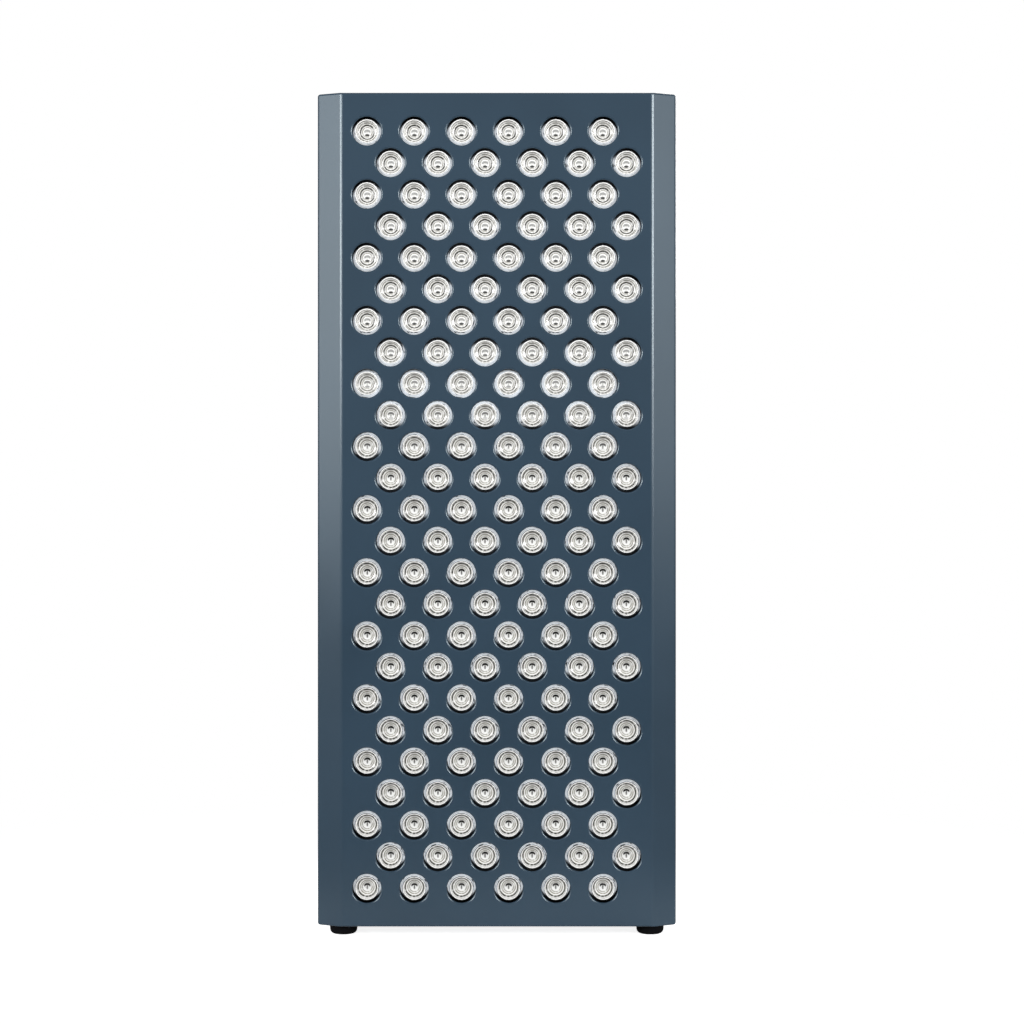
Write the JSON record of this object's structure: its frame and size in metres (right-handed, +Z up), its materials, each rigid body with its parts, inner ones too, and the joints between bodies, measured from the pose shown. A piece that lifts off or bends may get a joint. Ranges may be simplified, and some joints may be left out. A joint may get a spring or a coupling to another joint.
{
  "type": "red light therapy panel",
  "caption": "Tall free-standing light therapy panel: folded steel housing, staggered lensed LEDs behind round holes, rear fans, rocker switches and sockets, rubber feet.",
  "frame": {"origin": "centre of the footprint on the surface the panel stands on", "axes": "+Z up along the panel's height, +X to the right of someone who looks at the lit front, +Y from the lit front to the rear cover, through the thin depth"},
  "size_m": [0.3, 0.071, 0.7033],
  "materials": {
    "slate_paint": "satin",
    "lens_clear": "clear moulded lens over a pale LED board",
    "aluminium": "extruded",
    "black_plastic": "fine texture",
    "red_plastic": "gloss",
    "cream_plastic": "moulded",
    "black_rubber": "matte",
    "steel": "zinc plated",
    "brass": "bright"
  },
  "bodies": {
    "housing": {"front_cover": "slate_paint", "rear_cover": "slate_paint", "led_board_1": "lens_clear", "led_board_2": "lens_clear", "led_board_3": "lens_clear", "led_board_4": "lens_clear", "led_board_5": "lens_clear", "heat_sink_upper": "aluminium", "heat_sink_lower": "aluminium", "standoff_left_1": "brass", "standoff_left_2": "brass", "standoff_left_3": "brass", "standoff_right_1": "brass", "standoff_right_2": "brass", "standoff_right_3": "brass", "fan_frame_1": "black_plastic", "fan_frame_2": "black_plastic", "cover_screw_1": "steel", "cover_screw_2": "steel", "cover_screw_3": "steel", "cover_screw_4": "steel", "cover_screw_5": "steel", "cover_screw_6": "steel", "foot_front_left": "black_rubber", "foot_front_right": "black_rubber", "foot_rear_left": "black_rubber", "foot_rear_right": "black_rubber", "foot_screw_front_left": "steel", "foot_screw_front_right": "steel", "foot_screw_rear_left": "steel", "foot_screw_rear_right": "steel", "power_inlet": "black_plastic", "inlet_pin_line": "brass", "inlet_pin_neutral": "brass", "inlet_pin_earth": "brass", "link_outlet": "black_plastic", "red_switch_housing": "black_plastic", "infrared_switch_housing": "black_plastic", "led_driver_red": "aluminium", "led_driver_infrared": "aluminium", "terminal_block": "cream_plastic", "mains_cable": "black_plastic", "red_cable": "black_plastic", "infrared_cable": "black_plastic", "hanging_nut_left": "steel", "hanging_nut_right": "steel"},
    "lower_fan_rotor": {"fan_rotor_1": "black_plastic"},
    "upper_fan_rotor": {"fan_rotor_2": "black_plastic"},
    "red_rocker": {"red_switch_rocker": "red_plastic"},
    "infrared_rocker": {"infrared_switch_rocker": "black_plastic"}
  },
  "joints": [
    {"name": "lower_fan_spin", "type": "hinge", "parent": "housing", "child": "lower_fan_rotor", "pos_m": [0, 0.02903, 0.19128], "axis": [0, 1, 0], "continuous": true},
    {"name": "upper_fan_spin", "type": "hinge", "parent": "housing", "child": "upper_fan_rotor", "pos_m": [0, 0.02903, 0.52033], "axis": [0, 1, 0], "continuous": true},
    {"name": "red_switch", "type": "hinge", "parent": "housing", "child": "red_rocker", "pos_m": [-0.022, 0.03083, 0.0683], "axis": [1, 0, 0], "range_deg": [0, 16]},
    {"name": "infrared_switch", "type": "hinge", "parent": "housing", "child": "infrared_rocker", "pos_m": [-0.058, 0.03083, 0.0683], "axis": [1, 0, 0], "range_deg": [0, 16]}
  ]
}
